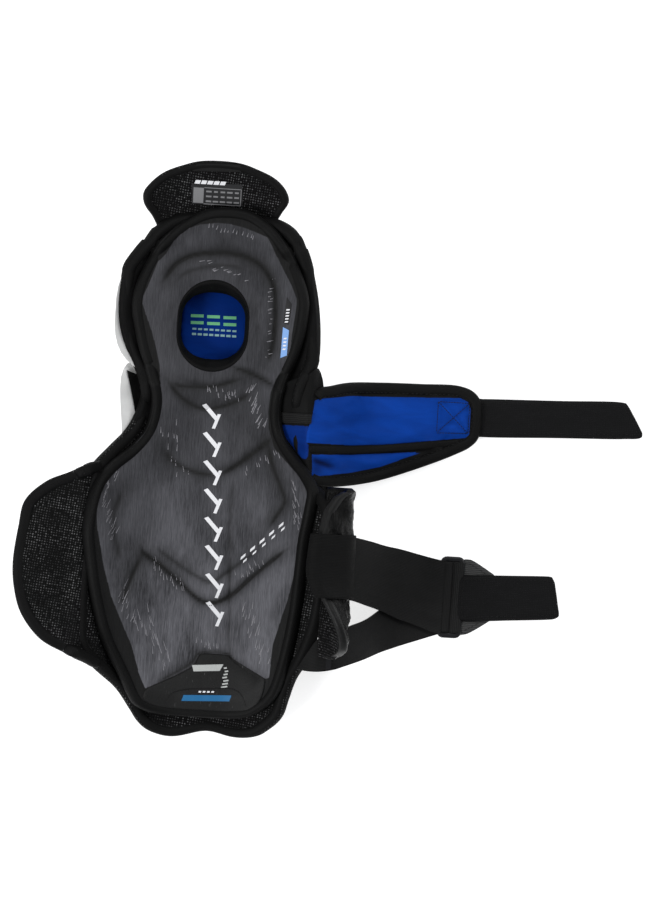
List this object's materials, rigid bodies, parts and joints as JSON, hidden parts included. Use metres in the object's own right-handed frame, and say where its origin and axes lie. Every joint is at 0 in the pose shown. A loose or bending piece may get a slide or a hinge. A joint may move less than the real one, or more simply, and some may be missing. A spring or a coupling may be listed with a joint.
{
  "type": "ice hockey shin guard",
  "caption": "Junior hockey shin and knee guard with plastic caps, foam carrier, calf wings, thigh flap, removable padded liner and two wrap straps, laid open on its front.",
  "frame": {"origin": "middle of the flat front face of the insert on the shin cap, which the guard lies on", "axes": "+X across the leg towards the strap side, +Y up the leg towards the knee and thigh, +Z from the front of the guard towards the leg"},
  "size_m": [0.453, 0.4175, 0.1145],
  "materials": {
    "white_shell": "moulded, semi-gloss white",
    "blue_insert": "moulded, semi-gloss blue",
    "rivet": "black enamel",
    "carrier_fabric": "black brushed nylon over foam",
    "binding_tape": "black knitted binding with a slight sheen",
    "blue_fabric": "royal blue knit",
    "air_mesh": "black spacer mesh",
    "label_print": "grey heat-transfer print, no lettering",
    "loop_tape": "black loop pile",
    "liner_fabric": "charcoal fabric with a brushed streak print",
    "coated_fabric": "black coated abrasion fabric",
    "hook_tape": "black hook tape",
    "webbing": "black woven webbing",
    "elastic": "black knitted elastic",
    "ring_plastic": "moulded black plastic"
  },
  "bodies": {
    "shin": {"shin_cap_shell": "white_shell", "shin_cap_insert": "blue_insert", "shin_cap_rivets": "rivet", "shin_carrier": "carrier_fabric", "shin_carrier_binding": "binding_tape", "upper_strap_anchor": "webbing", "lower_strap_anchor": "webbing"},
    "knee": {"kneecap_shell": "white_shell", "kneecap_rivets": "rivet", "knee_carrier": "carrier_fabric", "knee_carrier_binding": "binding_tape", "knee_cup_pad": "blue_fabric"},
    "thigh_flap": {"thigh_flap_pad": "air_mesh", "thigh_flap_binding": "binding_tape", "thigh_flap_label": "label_print"},
    "left_wing": {"left_wing_pad": "air_mesh", "left_wing_binding": "binding_tape", "upper_loop_patch": "loop_tape", "lower_loop_patch": "loop_tape"},
    "right_wing": {"right_wing_pad": "air_mesh", "right_wing_binding": "binding_tape", "wing_elastic_patch": "elastic"},
    "liner": {"liner_shin_pad": "liner_fabric", "liner_shin_binding": "binding_tape", "abrasion_panel": "coated_fabric", "liner_hook_strips": "hook_tape"},
    "liner_knee": {"liner_knee_pad": "liner_fabric", "liner_knee_binding": "binding_tape", "knee_opening_rim": "binding_tape", "liner_size_tag": "label_print"},
    "upper_strap": {"upper_strap_pad": "blue_fabric", "upper_strap_binding": "binding_tape"},
    "upper_tab": {"upper_hook_tab": "hook_tape"},
    "lower_strap": {"lower_strap_upper_leg": "elastic", "lower_strap_lower_leg": "elastic"},
    "ring": {"strap_ring": "ring_plastic"},
    "lower_tab": {"strap_yoke": "webbing", "lower_hook_tab": "hook_tape"}
  },
  "joints": [
    {"name": "knee_flex", "type": "hinge", "parent": "shin", "child": "knee", "pos_m": [0, 0.118, 0.048], "axis": [1, 0, 0], "range_deg": [0, 25]},
    {"name": "thigh_flap_fold", "type": "hinge", "parent": "knee", "child": "thigh_flap", "pos_m": [0, 0.239, 0.024], "axis": [1, 0, 0], "range_deg": [-35, 0]},
    {"name": "left_wing_fold", "type": "hinge", "parent": "shin", "child": "left_wing", "pos_m": [-0.0925, 0, 0.0692], "axis": [0, 1, 0], "range_deg": [-20, 75]},
    {"name": "right_wing_fold", "type": "hinge", "parent": "shin", "child": "right_wing", "pos_m": [0.09, 0, 0.0635], "axis": [0, -1, 0], "range_deg": [-42, 15]},
    {"name": "upper_strap_swing", "type": "hinge", "parent": "shin", "child": "upper_strap", "pos_m": [0.082, 0, 0.0415], "axis": [0, -1, 0], "range_deg": [0, 80]},
    {"name": "upper_tab_fold", "type": "hinge", "parent": "upper_strap", "child": "upper_tab", "pos_m": [0.1945, 0, 0.0066], "axis": [0, -1, 0], "range_deg": [0, 100]},
    {"name": "lower_strap_swing", "type": "hinge", "parent": "shin", "child": "lower_strap", "pos_m": [0.097, 0, 0.06], "axis": [0, -1, 0], "range_deg": [0, 70]},
    {"name": "ring_swivel", "type": "hinge", "parent": "lower_strap", "child": "ring", "pos_m": [0.1716, 0, 0.0045], "axis": [0, -1, 0], "range_deg": [0, 40]},
    {"name": "lower_tab_fold", "type": "hinge", "parent": "ring", "child": "lower_tab", "pos_m": [0.1905, 0, 0.0049], "axis": [0, -1, 0], "range_deg": [0, 118]},
    {"name": "liner_lift", "type": "slide", "parent": "shin", "child": "liner", "axis": [0, 0, -1], "range_m": [-0.07, 0]},
    {"name": "liner_flex", "type": "hinge", "parent": "liner", "child": "liner_knee", "pos_m": [0, 0.118, 0.048], "axis": [1, 0, 0], "range_deg": [0, 25]}
  ],
  "couplings": [
    {"joint": "liner_flex", "follows": "knee_flex", "ratio": 1}
  ]
}
